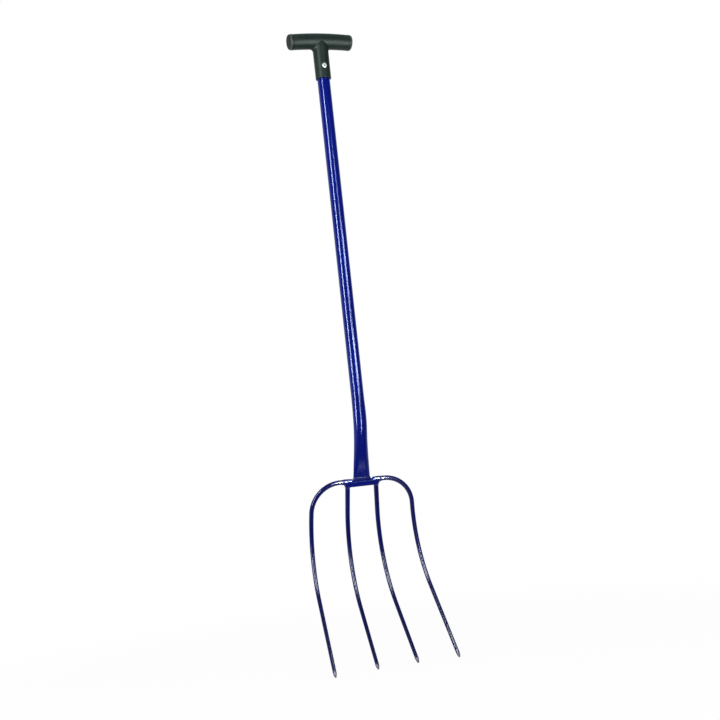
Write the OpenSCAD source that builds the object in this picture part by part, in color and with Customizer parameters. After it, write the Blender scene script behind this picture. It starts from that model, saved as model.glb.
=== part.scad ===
// Manure fork: four round tines welded to a cross bar, on a cranked tubular shaft with a moulded T grip.
// Millimetres. +Z runs up the straight shaft, +X along the cross bar, and the tines curve to the front, -Y.
// The origin is on the axis of the straight shaft, where a rack clip or the lower hand holds it.

/* [Shaft tube] */
// Outside diameter of the tube
tube_d = 25.4; // [22:0.1:28]
// Wall of the tube
tube_wall = 2; // [1.2:0.1:3]
// From the clip's place up to the axis of the T grip
clip_to_grip = 436; // [250:1:700]
// From the clip's place down to the corner of the crank
clip_to_crank = 330; // [150:1:600]
// Angle by which the lower tube leans back from the straight shaft
crank_angle = 14; // [5:0.5:25]
// Radius of the crank's bend, along the middle of the tube
crank_bend_r = 190; // [80:5:260]
// Depth that the tube loses where it is bent
crank_squash = 1.6; // [0:0.1:3]
// From the corner of the crank down to the cross bar's top face
lower_len = 118; // [90:1:220]

/* [Cross bar] */
// Length of the flat bar
bar_len = 70.5; // [60:0.5:110]
// Depth of the flat bar, front to back
bar_depth = 16; // [14:0.5:22]
// Height of the flat bar
bar_h = 11.5; // [8:0.5:16]
// Radius of the bar's eased long edges
bar_edge_r = 2.5; // [0.5:0.25:2.75]
// Radius of the bar's rounded ends, seen from above
bar_end_r = 6; // [1:0.5:6.5]
// Ledge that the squeezed tube foot leaves on the bar, at the front and at the back
foot_ledge = 4; // [2.75:0.25:4.5]

/* [Tines] */
// Diameter of a tine where it leaves the bar
tine_root_d = 10; // [7:0.25:12]
// Diameter of a tine where its point begins
tine_tip_d = 7.5; // [4:0.25:9]
// Length of the ground point
point_len = 10; // [6:1:30]
// Length of the blade, from the bar's middle down the dish to the tips
blade_len = 383; // [320:1:480]
// Straight stretch of the blade before the dish begins
dish_root = 53; // [20:1:100]
// Radius of the inner tines' dish
inner_dish_r = 230; // [120:5:260]
// Angle through which the inner tines turn to the front
inner_dish_angle = 49.5; // [20:0.5:55]
// Radius of the outer tines' dish
outer_dish_r = 210; // [120:5:260]
// Angle through which the outer tines turn to the front
outer_dish_angle = 46.5; // [20:0.5:55]
// From the bar's end in to the axis of an inner tine
inner_inset = 5.25; // [5:0.25:14]
// Angle by which the inner tines spread
inner_splay = 1.6; // [0:0.1:4]
// Half the width between the outer tines, at the foot of their shoulders
outer_half_w = 106; // [85:1:150]
// Height of the outer tines' axis above the middle of the bar
outer_rise = 4.75; // [3:0.25:6]
// Straight stub of an outer tine before its shoulder begins
outer_stub = 11.25; // [6:0.25:14]
// Angle by which the outer tines spread
outer_splay = 3.3; // [0:0.1:6]

/* [T grip] */
// Length of the grip over its end caps
grip_len = 133; // [110:1:170]
// Diameter of the hand bar
grip_d = 32.2; // [30:0.1:38]
// Rise of the hand bar's middle above its ends
grip_bow = 2.3; // [0.5:0.1:6]
// Wall of the hand bar round its hollow ends
grip_wall = 3.5; // [2:0.25:5]
// Depth of the hollow in each end of the hand bar
hollow_len = 38; // [15:1:40]
// From the hand bar's axis down to the socket's rim
socket_len = 76; // [60:1:110]
// Wall of the socket at its rim
socket_wall = 2.75; // [2:0.25:5]
// Growth of the socket's radius from its rim to the hand bar, which lets it leave the mould
socket_draft = 0.2; // [0:0.1:1.5]
// Reach of the fillet between the socket and the hand bar
socket_fillet = 6; // [2:0.5:12]
// Gap round the tube in the socket
socket_gap = 0.15; // [0.05:0.05:0.4]
// From the hand bar's axis down to the top end of the tube
tube_stop = 8; // [0:1:14]

/* [End caps] */
// Thickness of a cap outside the hand bar
cap_t = 5; // [3:0.5:9]
// Radius of a cap's rounded edge
cap_edge_r = 4.5; // [1:0.25:8]
// Length of a cap's plug inside the hand bar
plug_len = 12; // [5:1:14]
// Wall of a cap's plug
plug_wall = 2; // [1:0.25:3]
// Gap round a cap's plug
plug_gap = 0.15; // [0.05:0.05:0.4]

/* [Rivet] */
// From the hand bar's axis down to the rivet
rivet_drop = 52; // [36:1:54]
// Diameter of the rivet's shank
rivet_d = 4.8; // [3.6:0.1:6.4]
// Diameter of the rivet's head
rivet_head_d = 9.6; // [7:0.1:12]
// Height of the rivet's head
rivet_head_h = 1.5; // [0.8:0.1:2.5]
// Diameter of the bulb that grips the tube from inside
rivet_bulb_d = 7.2; // [5:0.1:9]
// Length of the bulb
rivet_bulb_len = 6; // [3:0.5:8]
// Diameter of the pulling stem
stem_d = 2.6; // [1.6:0.1:3]
// Depth of the broken stem below the head's top
stem_sunk = 0.8; // [0.2:0.1:1.2]
// Gap round the shank and round the stem
rivet_gap = 0.05; // [0.02:0.01:0.2]

/* [Welds] */
// Leg of the weld round the tube's foot, up the tube
foot_weld_leg = 6.5; // [2:0.5:8]
// Reach of that weld's toe along the bar, on either side of the tube
foot_weld_reach = 3; // [2:0.5:9]
// Leg of the weld round an inner tine
inner_weld_leg = 3; // [1.5:0.25:3]
// Reach of an outer tine's weld along the tine
outer_weld_reach = 5; // [2:0.5:5]
// Reach of an outer tine's weld back over the bar
outer_weld_lap = 13.5; // [4:0.5:14]
// Thickness of an outer tine's weld where tine and bar meet
outer_weld_t = 0.75; // [0.5:0.25:4]
// Radius of the fillet in the corner between an outer tine and an inner one
under_weld_r = 7; // [3:0.5:8]
// Width of that fillet, front to back
under_weld_w = 8; // [4:0.5:8]

/* [Hidden] */

$fn = 64;
paint_blue = [0.02, 0.06, 0.43];
grip_grey = [0.15, 0.19, 0.18];
cap_grey = [0.1, 0.12, 0.12];
rivet_silver = [0.85, 0.88, 0.89];
stem_grey = [0.3, 0.3, 0.32];

// Sides of the swept rings and how many there are
tine_sides = 16;
tine_step = 9;
point_rings = 6;
tube_sides = 40;
lead_rings = 3;
bend_rings = 8;
lower_rings = 9;
blend_rings = 8;
weld_rows = 5;

// The swept end of the tube starts inside the straight one, set in by a hair
seam_lap = 4;
seam_inset = 0.04;
seam_step = 0.5;

// Overrun of a cut past the face it opens
cut = 1;

// Places along the shaft
tube_r = tube_d / 2;
crank_tangent = crank_bend_r * tan(crank_angle / 2);
squash_lead = 30;
bend_len = crank_bend_r * crank_angle * PI / 180;
sweep_top = crank_tangent + squash_lead;
sweep_len = squash_lead + bend_len + lower_len - crank_tangent;
tube_top = clip_to_grip - tube_stop;

// Half width and half depth of the squeezed tube keep its girth: twice the squares of the radius
foot_half_depth = min(bar_depth / 2 - foot_ledge, tube_r);
bend_half_depth = tube_r - crank_squash / 2;

// The tines' outlines, and the leg of weld that the bar's flat underside has room for
inner_dish = [inner_dish_r, inner_dish_angle];
outer_dish = [outer_dish_r, outer_dish_angle];
tine_root_r = tine_root_d / 2;
tine_tip_r = tine_tip_d / 2;
inner_x = bar_len / 2 - inner_inset;
inner_leg = min(inner_weld_leg, bar_depth / 2 - tine_root_r);
inner_stub = inner_leg + tine_root_r / 2;
inner_len = inner_stub + (blade_len - bar_h / 2 - inner_stub) / cos(inner_splay);
shoulder_x = bar_len / 2 + outer_stub;
shoulder_r = (outer_half_w - shoulder_x) / cos(outer_splay);
shoulder_turn = 90 - outer_splay;
shoulder_len = shoulder_r * shoulder_turn * PI / 180;
shoulder_drop = shoulder_r * (1 - sin(outer_splay)) - outer_rise;
outer_len = outer_stub + shoulder_len + (blade_len - shoulder_drop) / cos(outer_splay);

// The grip: its hand bar is an arc of a large ring whose axis lies below it
bar_body_len = grip_len - 2 * cap_t;
bow_r = (pow(bar_body_len / 2, 2) + pow(grip_bow, 2)) / (2 * grip_bow);
bow_half = asin(bar_body_len / 2 / bow_r);
bow_sides = 720;
grip_r = grip_d / 2;
hollow_r = grip_r - grip_wall;
socket_bore_r = tube_r + socket_gap;
hollow_depth = min(hollow_len, bar_body_len / 2 - socket_bore_r - grip_wall);
hollow_turn = hollow_depth / bow_r * 180 / PI;
socket_rim_r = socket_bore_r + socket_wall;
socket_top_r = socket_rim_r + socket_draft;

// The blend above the socket: its start inside the socket, its lean inwards and how high it is buried
blend_inset = 0.4;
blend_lean = 2.6;
blend_bury = 0.55;
blend_top = -blend_bury * grip_r;

// The cap's edge keeps a short land against the hand bar
cap_land = 0.5;
cap_round_r = min(cap_edge_r, cap_t - cap_land);

// The rivet lies along Y through the front of the socket and of the tube
rivet_z = clip_to_grip - rivet_drop;
rivet_hole_r = rivet_d / 2 + rivet_gap;
rivet_head_r = rivet_head_d / 2;
seat_margin = 0.4;
seat_r = rivet_head_r + seat_margin;
seat_y = sqrt(pow(socket_rim_r, 2) - pow(seat_r, 2));
rivet_bulb_r = rivet_bulb_d / 2;
bulb_y = sqrt(pow(tube_r - tube_wall, 2) - pow(rivet_bulb_r, 2)) - rivet_gap;
bulb_end_y = bulb_y - rivet_bulb_len;
stem_r = stem_d / 2;
stem_head_rim = 1;
stem_head_r = rivet_bulb_r - stem_head_rim;
stem_head_h = 2;

// A tine's point: its share of bullet against cone, and how its rings crowd to a small flat tip
point_bullet = 0.75;
point_crowd = 1.5;
point_flat = 0.35;

// How hollow the foot weld's face is
foot_weld_hollow = 1.2;

// Where the face of an outer weld bends, as shares of its thickness and of its reach
outer_bend_t = 0.3;
outer_bend_reach = 0.5;

// Where the face of an inner weld bends, how high it climbs the bar's edge, and how wide it is up there
inner_bend = 0.35;
inner_climb = 1.5;
inner_top_share = 0.6;

// The fillet under an outer tine ends on the straight stub of the inner one
under_r = min(under_weld_r, outer_rise - tine_root_r + bar_h / 2 + inner_stub);

// An outer weld's lap sinks a little, then rounds down to the bar's top, short of the foot weld's toe
weld_space = 1;
foot_toe_half_w = squeezed(tube_r, foot_half_depth) + foot_weld_reach;
outer_lap = min(outer_weld_lap, bar_len / 2 - foot_toe_half_w - weld_space);
lap_least_r = 0.5;
lap_end_r = max(bar_h / 2 - outer_rise, lap_least_r);
lap_top_share = 0.95;
lap_top_r = tine_root_r * lap_top_share;
lap_end_round = 2;
lap_round = min(lap_end_round, outer_lap / 2);
lap_rows = 4;

// Eases from 0 to 1 with level ends
function ease(t) = t <= 0 ? 0 : t >= 1 ? 1 : t * t * (3 - 2 * t);

// Half width of a round tube of radius r that is squeezed to a half depth, at the same girth
function squeezed(r, half_depth) = sqrt(2 * r * r - half_depth * half_depth);

// Faces between rings of equal count, clockwise from outside for rings that turn about the path
function wall_faces(rings, sides) = [
    for (i = [0:rings - 2], j = [0:sides - 1], k = [0, 1])
        let (a = i * sides + j)
        let (b = i * sides + (j + 1) % sides)
        k == 0 ? [a, b + sides, b] : [a, a + sides, b + sides]
];

// A solid swept through rings of points, with flat ends
module swept_rod(rings) {
    sides = len(rings[0]);
    last = (len(rings) - 1) * sides;
    polyhedron(
        points = [for (ring = rings) each ring],
        faces = concat(
            wall_faces(len(rings), sides),
            [[for (j = [0:sides - 1]) j]],
            [[for (j = [0:sides - 1]) last + sides - 1 - j]]
        )
    );
}

// A closed ring of profiles, each profile a closed loop of points
module swept_ring(loops) {
    sides = len(loops[0]);
    count = len(loops);
    faces = wall_faces(count + 1, sides);
    polyhedron(
        points = [for (loop = loops) each loop],
        faces = [for (face = faces) [for (p = face) p % (count * sides)]]
    );
}

// Ring of an oval across the path: half width along X, half depth along the other axis
function oval_ring(centre, half_w, half_d, depth_axis, sides) = [
    for (j = [0:sides - 1])
        let (a = 360 * j / sides)
        centre - half_w * cos(a) * [1, 0, 0] + half_d * sin(a) * depth_axis
];

// The crank: a point of the tube's middle and the lean of the tube, a distance q down the swept stretch
function crank_lean(q) =
    min(max(q - squash_lead, 0) / crank_bend_r * 180 / PI, crank_angle);
function crank_point(q) =
    let (lean = crank_lean(q))
    let (above = min(q, squash_lead))
    let (below = max(0, q - squash_lead - bend_len))
    [
        0,
        crank_bend_r * (1 - cos(lean)) + below * sin(lean),
        sweep_top - above - crank_bend_r * sin(lean) - below * cos(lean)
    ];

// Half depth of the tube down the swept stretch: first the bend's squash, then the squeezed foot
function tube_half_depth(q) =
    let (bend = ease(q / (squash_lead + crank_tangent)))
    let (start = squash_lead + 2 * crank_tangent)
    let (foot = pow(max(0, q - start) / (sweep_len - start), 2))
    tube_r + (bend_half_depth - tube_r) * bend + (foot_half_depth - bend_half_depth) * foot;
function tube_ring(q, inset) =
    let (lean = crank_lean(q))
    let (half_d = tube_half_depth(max(q, 0)))
    oval_ring(
        crank_point(q),
        squeezed(tube_r, half_d) - inset,
        half_d - inset,
        [0, cos(lean), sin(lean)],
        tube_sides
    );
weld_top = sweep_len - foot_weld_leg;
sweep_stops = concat(
    [seam_step],
    [for (i = [1:lead_rings]) squash_lead * i / lead_rings],
    [for (i = [1:bend_rings]) squash_lead + bend_len * i / bend_rings],
    [for (i = [lower_rings - 1:-1:0]) weld_top - (weld_top - squash_lead - bend_len) * i / lower_rings],
    [for (i = [1:weld_rows]) weld_top + foot_weld_leg * i / weld_rows]
);

// The dish, given by its radius and angle, a distance v down the blade from the bar's middle
function dish_turn(dish, v) = min(max(v - dish_root, 0) / dish[0] * 180 / PI, dish[1]);
function dish_point(dish, x, v) =
    let (turn = dish_turn(dish, v))
    let (after = max(0, v - dish_root - dish[0] * dish[1] * PI / 180))
    [
        x,
        -dish[0] * (1 - cos(turn)) - after * sin(turn),
        -min(v, dish_root) - dish[0] * sin(turn) - after * cos(turn)
    ];
function dish_normal(dish, v) = [0, -cos(dish_turn(dish, v)), sin(dish_turn(dish, v))];
function dish_down(dish, v) = [0, -sin(dish_turn(dish, v)), -cos(dish_turn(dish, v))];

// Flat outlines of the tines on the dish: x, v and the direction of travel, s along the tine
function inner_flat(s) =
    let (after = max(0, s - inner_stub))
    let (turn = s > inner_stub ? inner_splay : 0)
    [
        inner_x + after * sin(turn),
        bar_h / 2 + min(s, inner_stub) + after * cos(turn),
        sin(turn),
        cos(turn)
    ];
function outer_flat(s) =
    let (turn = min(max(s - outer_stub, 0) / shoulder_r * 180 / PI, shoulder_turn))
    let (after = max(0, s - outer_stub - shoulder_len))
    [
        bar_len / 2 + min(s, outer_stub) + shoulder_r * sin(turn) + after * sin(outer_splay),
        shoulder_r * (1 - cos(turn)) + after * cos(outer_splay) - outer_rise,
        cos(turn),
        sin(turn)
    ];

// Radius of a tine a distance s from its root: an even taper, then a point between a cone and a bullet
function tine_radius(s, length) =
    let (left = length - s)
    let (t = min(left / point_len, 1))
    let (body = tine_root_r + (tine_tip_r - tine_root_r) * min(s / (length - point_len), 1))
    body * ((1 - point_bullet) * t + point_bullet * sqrt(1 - pow(1 - t, 2)));
function tine_ring(dish, flat, radius) =
    let (v = flat[1])
    let (along = flat[2] * [1, 0, 0] + flat[3] * dish_down(dish, v))
    let (front = dish_normal(dish, v))
    let (side = cross(front, along))
    [
        for (j = [0:tine_sides - 1])
            let (a = 360 * (j + 0.5) / tine_sides)
            dish_point(dish, flat[0], v) + radius * (cos(a) * side + sin(a) * front)
    ];
function tine_stops(length) =
    let (steps = ceil((length - point_len) / tine_step))
    concat(
        [for (i = [0:steps]) (length - point_len) * i / steps],
        [
            for (i = [1:point_rings])
                length - point_len * pow(1 - i / (point_rings + point_flat), point_crowd)
        ]
    );

// Puts the head, drawn with the bar's middle at its origin, at the foot of the cranked tube
module at_head() {
    translate([0, 0, -clip_to_crank])
        rotate([crank_angle, 0, 0])
            translate([0, 0, -lower_len - bar_h / 2])
                children();
}

// Puts a part drawn with the hand bar's axis at its origin on top of the shaft
module at_grip() {
    translate([0, 0, clip_to_grip])
        children();
}

// Puts a part drawn along -Z at the rivet, pointing to the front
module at_rivet() {
    translate([0, 0, rivet_z])
        rotate([90, 0, 0])
            children();
}

// An arc of the bowed hand bar about its ring's axis, from one turn to another, seen from +X
module bowed(from, to) {
    translate([0, 0, grip_bow - bow_r])
        rotate([90, 0, 0])
            rotate([0, 0, 90 + from])
                rotate_extrude(angle = to - from, $fn = bow_sides)
                    translate([bow_r, 0])
                        children();
}

// Puts a part drawn along +Z on the hand bar's right end
module at_bar_end() {
    translate([0, 0, grip_bow - bow_r])
        rotate([0, bow_half, 0])
            translate([0, 0, bow_r])
                rotate([0, 90, 0])
                    children();
}

// The socket's top widens along X into the hand bar: ovals whose half width follows a quarter circle
module socket_blend() {
    low = -grip_r - socket_fillet;
    start_r = socket_top_r - blend_inset;
    swept_rod([
        for (i = [blend_rings:-1:0])
            let (t = i / blend_rings)
            let (z = low + (blend_top - low) * t)
            let (rise = min((z - low) / socket_fillet, 1))
            oval_ring(
                [0, 0, z],
                start_r + socket_fillet * (1 - sqrt(1 - rise * rise)),
                start_r - blend_lean * t,
                [0, 1, 0],
                tube_sides
            )
    ]);
}

module grip() {
    color(grip_grey)
        difference() {
            at_grip()
                union() {
                    bowed(-bow_half, bow_half) circle(r = grip_r);
                    translate([0, 0, -socket_len])
                        cylinder(h = socket_len, r1 = socket_rim_r, r2 = socket_top_r);
                    socket_blend();
                }
            at_grip() {
                translate([0, 0, -socket_len - cut])
                    cylinder(h = socket_len - tube_stop + cut, r = socket_bore_r);
                bowed(-bow_half - cut, hollow_turn - bow_half) circle(r = hollow_r);
                bowed(bow_half - hollow_turn, bow_half + cut) circle(r = hollow_r);
            }
            at_rivet() cylinder(h = grip_d, r = rivet_hole_r);
            at_rivet() translate([0, 0, seat_y]) cylinder(h = grip_d, r = seat_r);
        }
}

module end_cap() {
    color(cap_grey)
        at_grip()
            at_bar_end() {
                rotate_extrude() {
                    square([grip_r - cap_round_r, cap_t]);
                    square([grip_r, cap_t - cap_round_r]);
                    translate([grip_r - cap_round_r, cap_t - cap_round_r])
                        intersection() {
                            circle(r = cap_round_r);
                            square(cap_round_r);
                        }
                    translate([hollow_r - plug_gap - plug_wall, -plug_len])
                        square([plug_wall, plug_len + cap_t / 2]);
                }
            }
}

module grip_end_cap_right() {
    end_cap();
}

module grip_end_cap_left() {
    mirror([1, 0, 0]) end_cap();
}

module rivet_body() {
    hole_r = stem_r + rivet_gap;
    hole_len = seat_y + rivet_head_h - bulb_end_y + 2 * cut;
    dome_r = (pow(rivet_head_r, 2) + pow(rivet_head_h, 2)) / (2 * rivet_head_h);
    color(rivet_silver)
        at_rivet()
            difference() {
                union() {
                    translate([0, 0, bulb_end_y]) cylinder(h = rivet_bulb_len, r = rivet_bulb_r);
                    translate([0, 0, bulb_y]) cylinder(h = seat_y - bulb_y, r = rivet_d / 2);
                    translate([0, 0, seat_y])
                        intersection() {
                            translate([0, 0, rivet_head_h - dome_r]) sphere(r = dome_r);
                            cylinder(h = rivet_head_h, r = rivet_head_r);
                        }
                }
                translate([0, 0, bulb_end_y - cut]) cylinder(h = hole_len, r = hole_r);
            }
}

module rivet_stem() {
    stem_len = seat_y + rivet_head_h - stem_sunk - bulb_end_y;
    color(stem_grey)
        at_rivet() {
            translate([0, 0, bulb_end_y - stem_head_h]) cylinder(h = stem_head_h, r = stem_head_r);
            translate([0, 0, bulb_end_y]) cylinder(h = stem_len, r = stem_r);
        }
}

// The straight tube is exact; the crank and the squeezed foot are swept from inside its end
module shaft_tube() {
    straight_z = sweep_top - clip_to_crank;
    color(paint_blue)
        difference() {
            union() {
                translate([0, 0, straight_z]) cylinder(h = tube_top - straight_z, r = tube_r);
                translate([0, 0, -clip_to_crank]) lower_form(0, 0);
            }
            translate([0, 0, straight_z]) cylinder(h = tube_top - straight_z + cut, r = tube_r - tube_wall);
            translate([0, 0, -clip_to_crank]) lower_form(tube_wall, cut);
            at_rivet() cylinder(h = tube_d, r = rivet_hole_r);
        }
}

// The swept stretch of the tube, taken in by an inset, with its foot run on by an overshoot
module lower_form(inset, overshoot) {
    swept_rod(concat(
        [tube_ring(-seam_lap, inset + seam_inset), tube_ring(0, inset + seam_inset)],
        [for (q = sweep_stops) tube_ring(q, inset)],
        overshoot > 0 ? [tube_ring(sweep_len + overshoot, inset)] : []
    ));
}

module cross_bar() {
    color(paint_blue)
        at_head()
            bar_form();
}

// The bar's form: its eased section along X, with ends rounded as seen from above
module bar_form() {
    intersection() {
        translate([-bar_len / 2, 0, 0])
            rotate([90, 0, 90])
                linear_extrude(bar_len) eased_rectangle(bar_depth, bar_h, bar_edge_r);
        translate([0, 0, -bar_h / 2])
            linear_extrude(bar_h) eased_rectangle(bar_len, bar_depth, bar_end_r);
    }
}

module eased_rectangle(width, height, edge_r) {
    square([width - 2 * edge_r, height], center = true);
    square([width, height - 2 * edge_r], center = true);
    for (side = [-1, 1], up = [-1, 1])
        translate([side * (width / 2 - edge_r), up * (height / 2 - edge_r)])
            circle(r = edge_r);
}

// A tine swept along its flat outline, laid on its dish
module tine(dish, outline, length) {
    stops = tine_stops(length);
    color(paint_blue)
        at_head()
            swept_rod([for (s = stops) tine_ring(dish, outline(s), tine_radius(s, length))]);
}

module inner_tine() {
    tine(inner_dish, function (s) inner_flat(s), inner_len);
}

module outer_tine() {
    tine(outer_dish, function (s) outer_flat(s), outer_len);
}

module tine_inner_right() {
    inner_tine();
}

module tine_outer_right() {
    outer_tine();
}

module tine_inner_left() {
    mirror([1, 0, 0]) inner_tine();
}

module tine_outer_left() {
    mirror([1, 0, 0]) outer_tine();
}

// The fillet round the tube's foot: its toe runs out on the bar's flat top
module foot_weld() {
    toe_half_d = bar_depth / 2 - bar_edge_r;
    color(paint_blue)
        translate([0, 0, -clip_to_crank])
            swept_ring(weld_loops(toe_half_d));
}

function weld_loops(toe_half_d) =
    let (lean = [0, cos(crank_angle), sin(crank_angle)])
    let (toe = oval_ring(crank_point(sweep_len), foot_toe_half_w, toe_half_d, lean, tube_sides))
    let (rows = [for (i = [0:weld_rows]) tube_ring(sweep_len - foot_weld_leg * i / weld_rows, 0)])
    [
        for (j = [0:tube_sides - 1])
            concat(
                [for (i = [weld_rows:-1:0]) rows[i][j]],
                [
                    for (i = [0:weld_rows - 1])
                        rows[i][j] + (toe[j] - rows[0][j]) * pow(1 - i / weld_rows, foot_weld_hollow)
                ]
            )
    ];

// The fillet round an inner tine, which climbs the bar's eased edges and stops where the outer weld begins
module inner_weld() {
    color(paint_blue)
        at_head()
            difference() {
                translate([inner_x, 0, -bar_h / 2])
                    rotate_extrude()
                        translate([tine_root_r, 0])
                            polygon([
                                [0, -inner_leg],
                                [inner_leg * inner_bend, -inner_leg * inner_bend],
                                [inner_leg, 0],
                                [inner_leg * inner_top_share, inner_climb],
                                [0, inner_climb]
                            ]);
                bar_form();
                right_of(bar_len / 2, 2 * bar_depth);
                right_of(inner_x, under_weld_w);
            }
}

// A block of a given depth, front to back, that takes away what lies to the right of x
module right_of(x, depth) {
    translate([x, -depth / 2, -bar_len / 2]) cube([bar_len, depth, bar_len]);
}

// The rounded end of an outer weld's lap, from the weld's axis out to its full radius
function lap_profile() = concat(
    [[0, -outer_lap]],
    [
        for (i = [0:lap_rows])
            let (a = 90 * i / lap_rows)
            [lap_end_r + (lap_top_r - lap_end_r) * sin(a), lap_round * (1 - cos(a)) - outer_lap]
    ]
);

// The weld that ties an outer tine to the bar's end: a swelling round both and a fillet in the corner below
module outer_weld() {
    bend_r = tine_root_r + outer_weld_t * outer_bend_t;
    color(paint_blue)
        at_head()
            difference() {
                union() {
                    translate([bar_len / 2, 0, outer_rise])
                        rotate([0, 90, 0])
                            rotate_extrude()
                                polygon(concat(
                                    lap_profile(),
                                    [
                                        [tine_root_r + outer_weld_t, 0],
                                        [bend_r, outer_weld_reach * outer_bend_reach],
                                        [tine_root_r, outer_weld_reach],
                                        [0, outer_weld_reach]
                                    ]
                                ));
                    under_weld();
                }
                translate([bar_len / 2, 0, outer_rise])
                    rotate([0, 90, 0])
                        cylinder(h = outer_stub, r = tine_root_r);
                translate([inner_x, 0, -bar_h / 2 - inner_stub - cut])
                    cylinder(h = inner_stub + cut, r = tine_root_r);
                bar_form();
            }
}

// The fillet under an outer tine, carried up to that tine's axis and in to the inner tine's
module under_weld() {
    translate([bar_len / 2, under_weld_w / 2, outer_rise - tine_root_r])
        rotate([90, 0, 0])
            linear_extrude(under_weld_w)
                difference() {
                    translate([-inner_inset, -under_r])
                        square([inner_inset + under_r, under_r + tine_root_r]);
                    translate([under_r, -under_r]) circle(r = under_r);
                }
}

module weld_inner_right() {
    inner_weld();
}

module weld_inner_left() {
    mirror([1, 0, 0]) inner_weld();
}

module weld_outer_right() {
    outer_weld();
}

module weld_outer_left() {
    mirror([1, 0, 0]) outer_weld();
}

grip();
grip_end_cap_left();
grip_end_cap_right();
rivet_body();
rivet_stem();
shaft_tube();
cross_bar();
tine_outer_left();
tine_inner_left();
tine_inner_right();
tine_outer_right();
foot_weld();
weld_outer_left();
weld_inner_left();
weld_inner_right();
weld_outer_right();
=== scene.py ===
"""Looks of the manure fork.

Steel under gloss enamel, rippled weld beads and a moulded grip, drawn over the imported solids.
"""

import logging
import math
from collections.abc import Iterable
from dataclasses import dataclass
from enum import Enum
from typing import Any

import bpy
import numpy as np
from mathutils import Matrix, Vector

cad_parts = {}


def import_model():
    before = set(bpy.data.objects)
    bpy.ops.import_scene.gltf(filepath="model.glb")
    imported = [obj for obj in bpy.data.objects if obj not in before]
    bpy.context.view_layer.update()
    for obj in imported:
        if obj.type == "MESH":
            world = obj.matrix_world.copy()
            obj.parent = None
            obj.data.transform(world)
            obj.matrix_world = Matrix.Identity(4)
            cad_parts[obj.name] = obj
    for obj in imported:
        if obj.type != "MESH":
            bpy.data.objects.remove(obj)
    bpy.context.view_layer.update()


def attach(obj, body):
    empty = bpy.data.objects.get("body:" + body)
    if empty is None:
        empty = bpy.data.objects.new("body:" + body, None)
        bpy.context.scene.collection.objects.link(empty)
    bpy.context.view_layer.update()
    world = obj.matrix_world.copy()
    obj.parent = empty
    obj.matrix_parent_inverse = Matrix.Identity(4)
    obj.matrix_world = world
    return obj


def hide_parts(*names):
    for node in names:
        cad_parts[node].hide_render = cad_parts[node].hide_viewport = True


LOG = logging.getLogger("manure_fork")
MM = 0.001
BODY = "root"
QUARTER = math.pi / 2
Array = np.ndarray
Point = tuple[float, float, float]
Colour = tuple[float, float, float]
Tint = tuple[float, float, float, float]
Span = tuple[float, float]
WHITE: Tint = (1.0, 1.0, 1.0, 1.0)
MIX_SHARE, MIX_FIRST, MIX_SECOND, MIX_RESULT = 0, 6, 7, 2


class Slot(Enum):
    """Material slots of the record."""

    BLUE = "blue_paint"
    WELD = "weld_paint"
    GRIP = "grip_plastic"
    CAP = "cap_plastic"
    RIVET = "rivet_alloy"
    STEM = "stem_steel"


class Side(Enum):
    """The two mirrored halves of the fork, by the sign of X."""

    LEFT = -1.0
    RIGHT = 1.0

    @property
    def word(self) -> str:
        """The side's name as the nodes use it."""
        return self.name.lower()


class Kind(Enum):
    """Which of a side's two tines."""

    INNER = "inner"
    OUTER = "outer"


@dataclass(frozen=True)
class Grain:
    """A noise pattern.

    Its grain size is in metres. Detail counts octaves, rough weighs the finer ones, stretch lengthens the
    grains along X, Y and Z, and ends, where given, are the values that become 0 and 1.
    """

    size_m: float
    detail: float = 2.0
    rough: float = 0.5
    stretch: Point = (1.0, 1.0, 1.0)
    ends: Span | None = None


class Value:
    """A shader socket that takes part in sums: each operator adds one Math node."""

    def __init__(self, bench: "ShaderBench", socket: bpy.types.NodeSocket) -> None:
        """Keeps the socket and the bench that it belongs to."""
        self.bench = bench
        self.socket = socket

    def math(self, operation: str, *terms: "Value | float") -> "Value":
        """Adds one Math node over the given terms.

        Args:
            operation: the Math node's operation.
            terms: its inputs in order, sockets or numbers.

        Returns:
            The node's result.
        """
        return self.bench.out("ShaderNodeMath", {"operation": operation}, dict(enumerate(terms)))

    def __add__(self, other: "Value | float") -> "Value":
        """This plus other."""
        return self.math("ADD", self, other)

    def __radd__(self, other: float) -> "Value":
        """Other plus this."""
        return self.math("ADD", other, self)

    def __sub__(self, other: "Value | float") -> "Value":
        """This minus other."""
        return self.math("SUBTRACT", self, other)

    def __rsub__(self, other: float) -> "Value":
        """Other minus this."""
        return self.math("SUBTRACT", other, self)

    def __mul__(self, other: "Value | float") -> "Value":
        """This times other."""
        return self.math("MULTIPLY", self, other)

    def __rmul__(self, other: float) -> "Value":
        """Other times this."""
        return self.math("MULTIPLY", other, self)

    def size(self) -> "Value":
        """The value without its sign."""
        return self.math("ABSOLUTE", self)

    def most(self, other: "Value | float") -> "Value":
        """The larger of this and other."""
        return self.math("MAXIMUM", self, other)

    def eased(self, low: float, high: float) -> "Value":
        """Rises smoothly from 0 at low to 1 at high; low may be the larger of the two."""
        ends = {"Value": self, "From Min": low, "From Max": high}
        return self.bench.out("ShaderNodeMapRange", {"interpolation_type": "SMOOTHSTEP"}, ends)


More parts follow.
